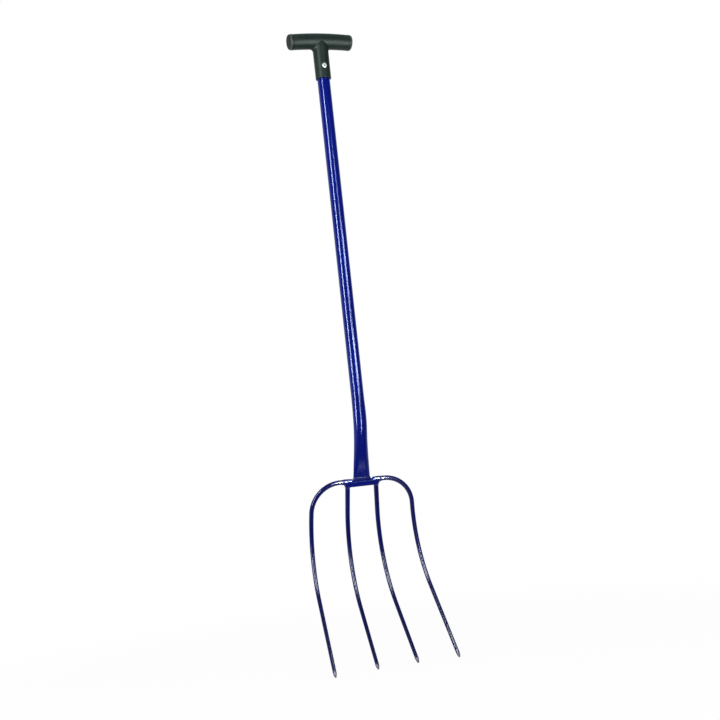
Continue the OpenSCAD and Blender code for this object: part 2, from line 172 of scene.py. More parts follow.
class ShaderBench:
    """Builds the nodes of one material or world."""

    def __init__(self, tree: bpy.types.NodeTree) -> None:
        """Clears the tree and keeps it."""
        self.tree = tree
        tree.nodes.clear()

    def node(
        self, kind: str, settings: dict[str, Any] | None = None, sockets: dict[Any, Any] | None = None
    ) -> bpy.types.Node:
        """Makes one node.

        Args:
            kind: the node's type.
            settings: properties that are set first.
            sockets: values or links of its inputs, by name or place.

        Returns:
            The node.
        """
        made = self.tree.nodes.new(kind)
        for name, value in (settings or {}).items():
            setattr(made, name, value)
        for name, value in (sockets or {}).items():
            source = value.socket if isinstance(value, Value) else value
            if isinstance(source, bpy.types.NodeSocket):
                self.tree.links.new(source, made.inputs[name])
            else:
                made.inputs[name].default_value = source
        return made

    def out(
        self, kind: str, settings: dict[str, Any] | None, sockets: dict[Any, Any] | None, output: Any = 0
    ) -> Value:
        """Makes one node and returns one of its outputs as a value."""
        return Value(self, self.node(kind, settings, sockets).outputs[output])

    def place(self) -> Value:
        """Object coordinates, which are the fork's own frame in metres."""
        return self.out("ShaderNodeTexCoord", None, None, "Object")

    def axis(self, name: str) -> Value:
        """One of the Object coordinates, X, Y or Z."""
        return self.out("ShaderNodeSeparateXYZ", None, {0: self.place()}, name)

    def noise(self, grain: Grain) -> Value:
        """Noise over the Object coordinates, from 0 to 1.

        Args:
            grain: the pattern.

        Returns:
            The noise, eased between the pattern's ends where it has them.
        """
        scale = tuple(1.0 / (grain.size_m * longer) for longer in grain.stretch)
        mapped = {"Vector": self.place(), "Scale": scale}
        where = self.out("ShaderNodeMapping", {"vector_type": "POINT"}, mapped)
        looks = {"Vector": where, "Scale": 1.0, "Detail": grain.detail, "Roughness": grain.rough}
        made = self.out("ShaderNodeTexNoise", None, looks)
        return made.eased(*grain.ends) if grain.ends else made

    def blend(self, share: Value, first: Value | Tint, second: Value | Tint) -> Value:
        """Mixes two colours by a share from 0 to 1."""
        sockets = {MIX_SHARE: share, MIX_FIRST: first, MIX_SECOND: second}
        return self.out("ShaderNodeMix", {"data_type": "RGBA"}, sockets, MIX_RESULT)

    def bump(self, height: Value, relief: Span, under: Value | None = None) -> Value:
        """Bends the normal by a height.

        Args:
            height: the height, from 0 to 1.
            relief: what a height of 1 stands for in metres, and the bump's strength.
            under: a normal that is already bent.

        Returns:
            The bent normal.
        """
        sockets: dict[Any, Any] = {"Height": height, "Distance": relief[0], "Strength": relief[1]}
        if under is not None:
            sockets["Normal"] = under
        return self.out("ShaderNodeBump", None, sockets)


def linear(red: float, green: float, blue: float) -> Tint:
    """Turns 8-bit display values into the shader's linear colour.

    Formula: below 0.04045 divide by 12.92, otherwise ((value + 0.055) / 1.055) to the power 2.4.

    Args:
        red: red from 0 to 255.
        green: green from 0 to 255.
        blue: blue from 0 to 255.

    Returns:
        The linear colour, opaque.
    """
    parts = np.array([red, green, blue]) / 255.0
    lit = np.where(parts <= 0.04045, parts / 12.92, ((parts + 0.055) / 1.055) ** 2.4)
    return (float(lit[0]), float(lit[1]), float(lit[2]), 1.0)


class Finish:
    """A finish makes one material and hands it to every piece that asks."""

    title: str

    def dress(self, bench: ShaderBench) -> dict[str, Any]:
        """Returns the Principled shader's inputs."""
        raise NotImplementedError

    def material(self) -> bpy.types.Material:
        """Finds or makes the finish's material.

        Returns:
            The one material of this title.
        """
        known = bpy.data.materials.get(self.title)
        if known is not None:
            return known
        made = bpy.data.materials.new(self.title)
        made.use_nodes = True
        bench = ShaderBench(made.node_tree)
        shader = bench.node("ShaderNodeBsdfPrincipled", None, self.dress(bench))
        bench.node("ShaderNodeOutputMaterial", None, {"Surface": shader.outputs["BSDF"]})
        return made


@dataclass(frozen=True)
class GlossEnamel(Finish):
    """Deep blue enamel baked on steel, darker down the tines and rubbed to grey steel at the points.

    Heights and lengths come in pairs, in metres: where a change starts and where it is whole. A relief
    is a depth in metres and a strength.
    """

    title: str = "gloss_blue_enamel"
    deep: Colour = (2, 13, 108)
    rich: Colour = (5, 20, 124)
    cloud: Grain = Grain(0.06, 3.0, ends=(0.3, 0.7))
    low: Colour = (3, 9, 68)
    low_z: Span = (-0.52, -0.74)
    steel: Colour = (112, 112, 118)
    tip_z: float = -0.7976
    worn_len: Span = (0.02, 0.008)
    worn_edge: Grain = Grain(0.004, 4.0, 0.7)
    worn_ragged: float = 0.014
    worn_share: float = 0.75
    worn_metal: float = 0.7
    worn_rough: float = 0.22
    scuff: Grain = Grain(0.012, 5.0, 0.65, (0.4, 0.4, 3.0), (0.62, 0.78))
    scuff_rough: float = 0.06
    peel: Grain = Grain(0.0022)
    peel_relief: Span = (0.00004, 0.1)
    roughness: float = 0.15
    gloss: float = 0.36
    sheen: Tint = (0.58, 0.7, 1.0, 1.0)

    def dress(self, bench: ShaderBench) -> dict[str, Any]:
        """Cloudy blue, darker towards the points, with orange peel, faint scuffs and bare steel tips.

        Args:
            bench: where the nodes are made.

        Returns:
            The Principled shader's inputs.
        """
        height = bench.axis("Z")
        ragged = bench.noise(self.worn_edge) * self.worn_ragged
        worn = (height - self.tip_z + ragged).eased(*self.worn_len)
        fresh = bench.blend(bench.noise(self.cloud), linear(*self.deep), linear(*self.rich))
        paint = bench.blend(height.eased(*self.low_z), fresh, linear(*self.low))
        rubbed = bench.noise(self.scuff) * self.scuff_rough
        return {
            "Base Color": bench.blend(worn * self.worn_share, paint, linear(*self.steel)),
            "Metallic": worn * self.worn_metal,
            "Roughness": rubbed + worn * self.worn_rough + self.roughness,
            "Specular IOR Level": self.gloss,
            "Specular Tint": self.sheen,
            "Normal": bench.bump(bench.noise(self.peel), self.peel_relief),
        }


@dataclass(frozen=True)
class WeldEnamel(Finish):
    """The same enamel over a weld bead, mottled and pitted."""

    title: str = "weld_blue_enamel"
    deep: Colour = (1, 8, 84)
    rich: Colour = (8, 22, 118)
    cloud: Grain = Grain(0.003, 4.0, 0.6, ends=(0.3, 0.7))
    pit: Grain = Grain(0.0011, 3.0, 0.6)
    pit_rough: float = 0.14
    pit_relief: Span = (0.0002, 0.3)
    roughness: float = 0.17
    gloss: float = 0.5
    sheen: Tint = (0.58, 0.7, 1.0, 1.0)

    def dress(self, bench: ShaderBench) -> dict[str, Any]:
        """Blue mottled darker and lighter at random, with small pits and spatter.

        Args:
            bench: where the nodes are made.

        Returns:
            The Principled shader's inputs.
        """
        pits = bench.noise(self.pit)
        return {
            "Base Color": bench.blend(bench.noise(self.cloud), linear(*self.deep), linear(*self.rich)),
            "Roughness": pits * self.pit_rough + self.roughness,
            "Specular IOR Level": self.gloss,
            "Specular Tint": self.sheen,
            "Normal": bench.bump(pits, self.pit_relief),
        }


@dataclass(frozen=True)
class SatinPlastic(Finish):
    """Moulded grey-green plastic with a fine grain, polished by hands, and a parting line."""

    title: str = "satin_grip_plastic"
    dark: Colour = (24, 34, 32)
    light: Colour = (34, 46, 43)
    cloud: Grain = Grain(0.02, 4.0, 0.6, ends=(0.25, 0.75))
    cloud_share: float = 0.6
    cloud_rough: float = 0.12
    fleck: Grain = Grain(0.0012, 3.0, 0.6)
    fleck_share: float = 0.4
    fleck_rough: float = 0.08
    grain: Grain = Grain(0.0007)
    grain_relief: Span = (0.00008, 0.35)
    seam_half: float = 0.00022
    seam_share: float = 0.25
    seam_relief: Span = (0.0002, 0.5)
    roughness: float = 0.32
    gloss: float = 0.18
    sheen: Tint = (0.82, 1.0, 0.94, 1.0)

    def dress(self, bench: ShaderBench) -> dict[str, Any]:
        """Two close greys, a fine mould grain, dull patches and the line where the mould halves met.

        Args:
            bench: where the nodes are made.

        Returns:
            The Principled shader's inputs.
        """
        cloud, fleck = bench.noise(self.cloud), bench.noise(self.fleck)
        seam = bench.axis("Y").size().eased(self.seam_half * 2, self.seam_half)
        share = cloud * self.cloud_share + fleck * self.fleck_share
        tone = bench.blend(share, linear(*self.dark), linear(*self.light))
        grained = bench.bump(bench.noise(self.grain), self.grain_relief)
        return {
            "Base Color": bench.blend(seam * self.seam_share, tone, linear(*self.light)),
            "Roughness": cloud * self.cloud_rough + fleck * self.fleck_rough + self.roughness,
            "Specular IOR Level": self.gloss,
            "Specular Tint": self.sheen,
            "Normal": bench.bump(seam, self.seam_relief, grained),
        }


@dataclass(frozen=True)
class CapPlastic(Finish):
    """The end caps' plastic: a dull face, and a rim polished by hands and painted lighter as a highlight.
    """

    title: str = "dull_cap_plastic"
    face: Colour = (24, 30, 29)
    # The rim colour is a painted highlight of the cap's round edge.
    rim: Colour = (74, 88, 84)
    rim_x: Span = (0.0651, 0.0638)
    fleck: Grain = Grain(0.0012, 3.0, 0.6)
    fleck_reach: float = 0.0006
    fleck_rough: float = 0.08
    grain: Grain = Grain(0.0007)
    grain_relief: Span = (0.00008, 0.35)
    dull: float = 0.7
    polish: float = 0.26
    gloss: float = 0.25

    def dress(self, bench: ShaderBench) -> dict[str, Any]:
        """Dark and dull on the flat face; smoother round the edge and painted lighter there as a
        highlight; a fine grain.

        Args:
            bench: where the nodes are made.

        Returns:
            The Principled shader's inputs.
        """
        fleck = bench.noise(self.fleck)
        # This mask makes the rim smoother and paints its highlight in the lighter rim colour.
        edge = (bench.axis("X").size() + fleck * self.fleck_reach).eased(*self.rim_x)
        return {
            "Base Color": bench.blend(edge, linear(*self.face), linear(*self.rim)),
            "Roughness": edge * (self.polish - self.dull) + fleck * self.fleck_rough + self.dull,
            "Specular IOR Level": self.gloss,
            "Normal": bench.bump(bench.noise(self.grain), self.grain_relief),
        }


@dataclass(frozen=True)
class BrightAlloy(Finish):
    """Bright aluminium of the rivet, turned and a little dull."""

    title: str = "rivet_bright_alloy"
    bright: Colour = (220, 226, 225)
    dull: Colour = (172, 178, 178)
    patch: Grain = Grain(0.0016, 3.0, 0.6, ends=(0.35, 0.75))
    patch_rough: float = 0.15
    dent: Grain = Grain(0.0007)
    dent_relief: Span = (0.00008, 0.4)
    metal: float = 0.4
    roughness: float = 0.45

    def dress(self, bench: ShaderBench) -> dict[str, Any]:
        """Silver with faint dull patches and small dents.

        Args:
            bench: where the nodes are made.

        Returns:
            The Principled shader's inputs.
        """
        patch = bench.noise(self.patch)
        return {
            "Base Color": bench.blend(patch, linear(*self.bright), linear(*self.dull)),
            "Metallic": self.metal,
            "Roughness": patch * self.patch_rough + self.roughness,
            "Normal": bench.bump(bench.noise(self.dent), self.dent_relief),
        }


@dataclass(frozen=True)
class BrokenSteel(Finish):
    """The torn end of the rivet's steel stem, painted dark as the shade inside the rivet's hole."""

    title: str = "broken_stem_steel"
    # Both tones are painted shade, far darker than steel, standing for the shade in the rivet's hole.
    dark: Colour = (20, 21, 24)
    light: Colour = (58, 60, 64)
    light_from: Span = (0.3, 0.7)
    tear: Grain = Grain(0.0005, 4.0, 0.7)
    tear_rough: float = 0.2
    tear_relief: Span = (0.0003, 0.7)
    metal: float = 0.7
    roughness: float = 0.5

    def dress(self, bench: ShaderBench) -> dict[str, Any]:
        """Grainy grey painted dark as the shade in the rivet's hole, with a torn, rough end.

        Args:
            bench: where the nodes are made.

        Returns:
            The Principled shader's inputs.
        """
        torn = bench.noise(self.tear)
        tone = bench.blend(torn.eased(*self.light_from), linear(*self.dark), linear(*self.light))
        return {
            "Base Color": tone,
            "Metallic": self.metal,
            "Roughness": torn * self.tear_rough + self.roughness,
            "Normal": bench.bump(torn, self.tear_relief),
        }


ENAMEL = GlossEnamel()
BAR_ENAMEL = GlossEnamel(title="bar_blue_enamel", roughness=0.36, gloss=0.12)
TINE_ENAMEL = GlossEnamel(
    title="tine_blue_enamel",
    deep=(4, 10, 82),
    rich=(8, 15, 96),
    roughness=0.17,
    gloss=0.32,
    sheen=(0.9, 0.95, 1.0, 1.0),
)
WELD_ENAMEL = WeldEnamel()
FOOT_WELD_ENAMEL = WeldEnamel(title="foot_weld_blue_enamel", roughness=0.34, gloss=0.4)
GRIP_PLASTIC = SatinPlastic()
CAP_PLASTIC = CapPlastic()
RIVET_ALLOY = BrightAlloy()
STEM_STEEL = BrokenSteel()


def smooth(values: Array) -> Array:
    """Eases 0 to 1 with level ends: t * t * (3 - 2 t) with t held between 0 and 1."""
    t = np.clip(values, 0.0, 1.0)
    return t * t * (3.0 - 2.0 * t)


def angles(count: int) -> Array:
    """Angles of a closed ring, evenly spaced from 0 round to just short of a full turn."""
    return np.arange(count) * (2.0 * math.pi / count)


def carried(
    path: Array, across: Array, front: Array, half_across: Array, half_front: Array, sides: int
) -> Array:
    """Carries an oval along a path.

    Formula: point = path + half width * cos(angle) * across + half depth * sin(angle) * front. Faces
    point outwards where across x front is the way the path runs.

    Args:
        path: middles of the rings, one row each.
        across: unit vector of each ring's width.
        front: unit vector of each ring's depth.
        half_across: half width of each ring.
        half_front: half depth of each ring.
        sides: points round a ring.

    Returns:
        Points by ring and by angle.
    """
    turn = angles(sides)[None, :, None]
    wide = (half_across[:, None] * across)[:, None, :]
    deep = (half_front[:, None] * front)[:, None, :]
    return path[:, None, :] + np.cos(turn) * wide + np.sin(turn) * deep


@dataclass
class Shell:
    """A grid of points with its faces, closed round its columns."""

    points: Array
    ring_of_rings: bool = False

    def faces(self, first: int) -> list[list[int]]:
        """Quads between neighbouring rows, and two end faces where the rows don't close.

        Args:
            first: index of the shell's first point in the mesh.

        Returns:
            Faces as lists of point indices.
        """
        rows, columns = self.points.shape[:2]
        index = np.arange(rows * columns).reshape(rows, columns) + first
        low = index if self.ring_of_rings else index[:-1]
        high = np.roll(index, -1, axis=0) if self.ring_of_rings else index[1:]
        quads = np.stack([low, np.roll(low, -1, axis=1), np.roll(high, -1, axis=1), high], axis=-1)
        made = quads.reshape(-1, 4).tolist()
        if not self.ring_of_rings:
            made.append(index[0][::-1].tolist())
            made.append(index[-1].tolist())
        return made


@dataclass
class Piece:
    """One shown piece: its name, the node it stands for, its slot and its finish."""

    name: str
    node: str
    slot: Slot
    finish: Finish
    sharp_deg: float = 38.0

    def build(self, *shells: Shell) -> None:
        """Puts the shells, given in millimetres, into one mesh in the fork's frame.

        Args:
            shells: closed grids of points.
        """
        points: list[Array] = []
        faces: list[list[int]] = []
        count = 0
        for shell in shells:
            flat = shell.points.reshape(-1, 3)
            faces += shell.faces(count)
            points.append(flat)
            count += len(flat)
        mesh = bpy.data.meshes.new(self.name)
        mesh.from_pydata((np.concatenate(points) * MM).tolist(), [], faces)
        mesh.polygons.foreach_set("use_smooth", np.ones(len(mesh.polygons), dtype=bool))
        mesh.update()
        mesh.set_sharp_from_angle(angle=math.radians(self.sharp_deg))
        mesh.materials.append(self.finish.material())
        made = bpy.data.objects.new(self.name, mesh)
        bpy.context.scene.collection.objects.link(made)
        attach(made, BODY)
        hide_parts(self.node)
        LOG.info("%s: %d points for %s", self.name, count, self.node)


@dataclass(frozen=True)
class Shaft:
    """The cranked steel tube, squeezed at its foot, in millimetres."""

    tube_r: float = 12.7
    wall: float = 2.0
    top_z: float = 428.0
    corner_z: float = -330.0
    crank_deg: float = 14.0
    bend_r: float = 190.0
    squash: float = 1.6
    lower_len: float = 118.0
    foot_half_depth: float = 4.0
    lead: float = 30.0
    sides: int = 96
    straight_rows: int = 60
    sweep_rows: int = 90

    @property
    def crank(self) -> float:
        """The crank's angle in radians."""
        return math.radians(self.crank_deg)

    @property
    def tangent(self) -> float:
        """From the crank's corner to its bend's start: the radius times the tangent of half the angle."""
        return self.bend_r * math.tan(self.crank / 2)

    @property
    def sweep_len(self) -> float:
        """Length of the swept stretch, from above the bend to the foot."""
        return self.lead + self.bend_r * self.crank + self.lower_len - self.tangent

    def half_depth(self, q: Array) -> Array:
        """Half depth of the tube along its swept stretch.

        Formula: the radius, less the bend's squash eased in, then a parabola down to the squeezed foot.

        Args:
            q: distance down the swept stretch.

        Returns:
            Half depth at each distance.
        """
        bend = smooth(q / (self.lead + self.tangent))
        start = self.lead + 2 * self.tangent
        foot = np.square(np.clip(q - start, 0, None) / (self.sweep_len - start))
        bent = self.tube_r - self.squash / 2
        return self.tube_r + (bent - self.tube_r) * bend + (self.foot_half_depth - bent) * foot

    def half_width(self, half_depth: Array) -> Array:
        """Half width at the same girth: the root of twice the radius squared less half_depth squared."""
        return np.sqrt(2 * self.tube_r**2 - half_depth**2)

    def middle(self, q: Array) -> tuple[Array, Array]:
        """Middle line of the tube.

        Formula: straight down, then an arc of the bend's radius to the crank's angle, then straight.

        Args:
            q: distance down the swept stretch, negative above it.

        Returns:
            Points on the middle line, and how far it leans there, in radians.
        """
        lean = np.clip((q - self.lead) / self.bend_r, 0, self.crank)
        above = np.minimum(q, self.lead)
        below = np.clip(q - self.lead - self.bend_r * self.crank, 0, None)
        back = self.bend_r * (1 - np.cos(lean)) + below * np.sin(lean)
        high = self.tangent + self.lead - above - self.bend_r * np.sin(lean) - below * np.cos(lean)
        return np.stack([np.zeros_like(q), back, high + self.corner_z], axis=-1), lean

    def rings(self, q: Array, inset: float) -> Array:
        """Rings of the tube: ovals carried along its middle line.

        Args:
            q: distances down the swept stretch.
            inset: how far the rings lie inside the tube's skin.

        Returns:
            Points by ring and by angle.
        """
        path, lean = self.middle(q)
        deep = self.half_depth(np.clip(q, 0, None))
        across = np.tile([-1.0, 0.0, 0.0], (len(q), 1))
        front = np.stack([np.zeros_like(lean), np.cos(lean), np.sin(lean)], axis=-1)
        return carried(path, across, front, self.half_width(deep) - inset, deep - inset, self.sides)

    def build(self) -> None:
        """One closed surface: down the outside, round the foot, up the bore and over the top end."""
        straight = self.top_z - self.corner_z - self.tangent - self.lead
        above = np.linspace(-straight, 0, self.straight_rows)[:-1]
        q = np.concatenate([above, np.linspace(0, self.sweep_len, self.sweep_rows)])
        skin = np.concatenate([self.rings(q, 0.0), self.rings(q[::-1], self.wall)])
        Piece("painted_tube", "shaft_tube", Slot.BLUE, ENAMEL).build(Shell(skin, ring_of_rings=True))


@dataclass(frozen=True)
class Head:
    """The cross bar and the four tines, drawn with the bar's middle at the origin, in millimetres.

    A dish is a radius and an angle in degrees, a stub is a tine's straight start, and a splay is its lean
    outwards in degrees. Slim thins the tines a little under their solids.
    """

    shaft: Shaft
    bar_len: float = 70.5
    bar_depth: float = 16.0
    bar_h: float = 11.5
    bar_edge_r: float = 2.5
    bar_end_r: float = 6.0
    bar_flat: float = 0.2
    bar_rows: int = 20
    bar_end_rows: int = 16
    corner_rows: int = 7
    root_r: float = 5.0
    tip_r: float = 3.75
    slim: float = 0.976
    waver: float = 0.004
    waver_pitch: Span = (7.3, 23.0)
    outer_phase: float = 3.0
    point_len: float = 10.0
    point_rows: int = 18
    point_crowd: float = 1.6
    point_stop: float = 0.1
    bullet: float = 0.75
    blade_len: float = 383.0
    dish_root: float = 53.0
    inner_dish: Span = (230.0, 49.5)
    outer_dish: Span = (210.0, 46.5)
    inner_inset: float = 5.25
    inner_stub: float = 5.5
    inner_splay: float = 1.6
    outer_half_w: float = 106.0
    outer_rise: float = 4.75
    outer_stub: float = 11.25
    outer_splay: float = 3.3
    tine_sides: int = 32
    tine_rows: int = 190

    @property
    def inner_x(self) -> float:
        """From the middle to the axis of an inner tine at its root."""
        return self.bar_len / 2 - self.inner_inset

    def placed(self, points: Array) -> Array:
        """Puts points of the head at the foot of the cranked tube: down the lower tube, then leaned back.

        Args:
            points: points about the bar's middle.

        Returns:
            The same points in the fork's frame.
        """
        lean, shaft = self.shaft.crank, self.shaft
        y = points[..., 1]
        z = points[..., 2] - shaft.lower_len - self.bar_h / 2
        back = y * math.cos(lean) - z * math.sin(lean)
        high = y * math.sin(lean) + z * math.cos(lean) + shaft.corner_z
        return np.stack([points[..., 0], back, high], axis=-1)

    def on_dish(self, dish: Span, x: Array, v: Array) -> tuple[Array, Array, Array]:
        """Points on the dish, its way down and its front.

        Formula: straight to the dish's root, then an arc of its radius to its angle, then straight.

        Args:
            dish: radius, and angle in degrees.
            x: place across the head.
            v: distance down the blade from the bar's middle.

        Returns:
            Points, unit vectors down the blade and unit vectors to the front.
        """
        radius, whole = dish[0], math.radians(dish[1])
        turn = np.clip((v - self.dish_root) / radius, 0, whole)
        after = np.clip(v - self.dish_root - radius * whole, 0, None)
        front_y = -radius * (1 - np.cos(turn)) - after * np.sin(turn)
        down_z = -np.minimum(v, self.dish_root) - radius * np.sin(turn) - after * np.cos(turn)
        none = np.zeros_like(turn)
        down = np.stack([none, -np.sin(turn), -np.cos(turn)], axis=-1)
        front = np.stack([none, -np.cos(turn), np.sin(turn)], axis=-1)
        return np.stack([x, front_y, down_z], axis=-1), down, front

    def tine_radius(self, s: Array, length: float, phase: float) -> Array:
        """Radius along a tine.

        Formula: an even taper with a slow forged waver, times a blend of cone and bullet over the point.

        Args:
            s: distance along the tine.
            length: the tine's length.
            phase: shift of the waver.

        Returns:
            Radius at each distance.
        """
        t = np.clip((length - s) / self.point_len, 0, 1)
        taper = np.clip(s / (length - self.point_len), 0, 1)
        body = self.root_r + (self.tip_r - self.root_r) * taper
        short, long = self.waver_pitch
        waver = 1 - self.waver * (1 + np.sin(s / short + phase) * np.sin(s / long + 2 * phase))
        point = (1 - self.bullet) * t + self.bullet * np.sqrt(1 - np.square(1 - t))
        return self.slim * body * waver * point

    def stations(self, length: float) -> Array:
        """Distances along a tine: even down its body, then crowded over the point by a power.

        Args:
            length: the tine's length.

        Returns:
            Distances from the root, in order.
        """
        body = np.linspace(0, length - self.point_len, self.tine_rows)
        left = np.power(np.linspace(1, self.point_stop, self.point_rows), self.point_crowd)
        return np.concatenate([body, (length - self.point_len * left)[1:]])

    def inner_outline(self, s: Array) -> tuple[Array, Array, Array]:
        """Outline of an inner tine, seen from the front: a short stub, then a straight splay.

        Args:
            s: distance along the tine.

        Returns:
            Place across, distance down, and slant from level in radians.
        """
        splay = math.radians(self.inner_splay)
        after = np.clip(s - self.inner_stub, 0, None)
        x = self.inner_x + after * math.sin(splay)
        v = self.bar_h / 2 + np.minimum(s, self.inner_stub) + after * math.cos(splay)
        return x, v, np.where(s > self.inner_stub, QUARTER - splay, QUARTER)

    def inner_len(self) -> float:
        """Length of an inner tine: its stub, then the rest of its drop over the splay's cosine."""
        drop = self.blade_len - self.bar_h / 2 - self.inner_stub
        return self.inner_stub + drop / math.cos(math.radians(self.inner_splay))

    def shoulder(self) -> tuple[float, float, float]:
        """An outer tine's shoulder.

        Formula: the radius is the width left beside bar and stub over the splay's cosine; it turns a
        quarter less the splay.

        Returns:
            Radius, turn in radians and arc length.
        """
        splay = math.radians(self.outer_splay)
        radius = (self.outer_half_w - self.bar_len / 2 - self.outer_stub) / math.cos(splay)
        turn = QUARTER - splay
        return radius, turn, radius * turn

    def outer_outline(self, s: Array) -> tuple[Array, Array, Array]:
        """Outline of an outer tine, seen from the front: a stub, a round shoulder, then a straight splay.

        Args:
            s: distance along the tine.

        Returns:
            Place across, distance down, and slant from level in radians.
        """
        radius, whole, arc = self.shoulder()
        splay = math.radians(self.outer_splay)
        turn = np.clip((s - self.outer_stub) / radius, 0, whole)
        after = np.clip(s - self.outer_stub - arc, 0, None)
        stub = self.bar_len / 2 + np.minimum(s, self.outer_stub)
        x = stub + radius * np.sin(turn) + after * math.sin(splay)
        v = radius * (1 - np.cos(turn)) + after * math.cos(splay) - self.outer_rise
        return x, v, turn

    def outer_len(self) -> float:
        """Length of an outer tine along its middle.

        Formula: its stub, the shoulder's arc, then the drop that is left over the splay's cosine.

        Returns:
            The length.
        """
        radius, _, arc = self.shoulder()
        splay = math.radians(self.outer_splay)
        drop = radius * (1 - math.sin(splay)) - self.outer_rise
        return self.outer_stub + arc + (self.blade_len - drop) / math.cos(splay)

    def tine(self, kind: Kind, side: Side) -> None:
        """Builds one tine, a round section carried along its outline on its dish.

        Args:
            kind: inner or outer.
            side: which half it stands on.
        """
        outer = kind is Kind.OUTER
        length = self.outer_len() if outer else self.inner_len()
        s = self.stations(length)
        x, v, slant = self.outer_outline(s) if outer else self.inner_outline(s)
        path, down, front = self.on_dish(self.outer_dish if outer else self.inner_dish, x, v)
        along = np.cos(slant)[:, None] * np.array([1.0, 0.0, 0.0]) + np.sin(slant)[:, None] * down
        mirror = np.array([side.value, 1.0, 1.0])
        path, along, front = path * mirror, along * mirror, front * mirror
        radius = self.tine_radius(s, length, side.value + (self.outer_phase if outer else 0.0))
        rings = carried(path, np.cross(front, along), front, radius, radius, self.tine_sides)
        name, node = f"{kind.value}_tine_{side.word}", f"tine_{kind.value}_{side.word}"
        Piece(name, node, Slot.BLUE, TINE_ENAMEL).build(Shell(self.placed(rings)))

    def bar(self) -> None:
        """Builds the cross bar: a rectangle with round corners carried along X, drawn in at its ends.

        Formula: over the last stretch the half depth follows a quarter circle, as seen from above.
        """
        corner = np.repeat(np.array([[1, 1], [-1, 1], [-1, -1], [1, -1]]), self.corner_rows, axis=0)
        turn = (np.arange(4)[:, None] * QUARTER + np.linspace(0, QUARTER, self.corner_rows)).ravel()
        straight = self.bar_len / 2 - self.bar_end_r
        bend = np.linspace(0, QUARTER, self.bar_end_rows)
        over_x = straight + self.bar_end_r * np.sin(bend)
        over = np.stack([over_x, self.bar_end_r * (np.cos(bend) - 1)], axis=-1)
        level = np.linspace(-straight, straight, self.bar_rows)[1:-1]
        middle = np.stack([level, np.zeros_like(level)], axis=-1)
        stops = np.concatenate([over[::-1] * np.array([-1.0, 1.0]), middle, over])
        half_depth = self.bar_depth / 2 + stops[:, 1:]
        round_r = np.minimum(self.bar_edge_r, half_depth - self.bar_flat)
        y = corner[:, 0] * (half_depth - round_r) + round_r * np.cos(turn)
        z = corner[:, 1] * (self.bar_h / 2 - round_r) + round_r * np.sin(turn)
        points = np.stack([np.broadcast_to(stops[:, :1], y.shape), y, z], axis=-1)
        Piece("flat_cross_bar", "cross_bar", Slot.BLUE, BAR_ENAMEL).build(Shell(self.placed(points)))

    def build(self) -> None:
        """Builds the bar and the four tines."""
        self.bar()
        for side in Side:
            self.tine(Kind.OUTER, side)
            self.tine(Kind.INNER, side)


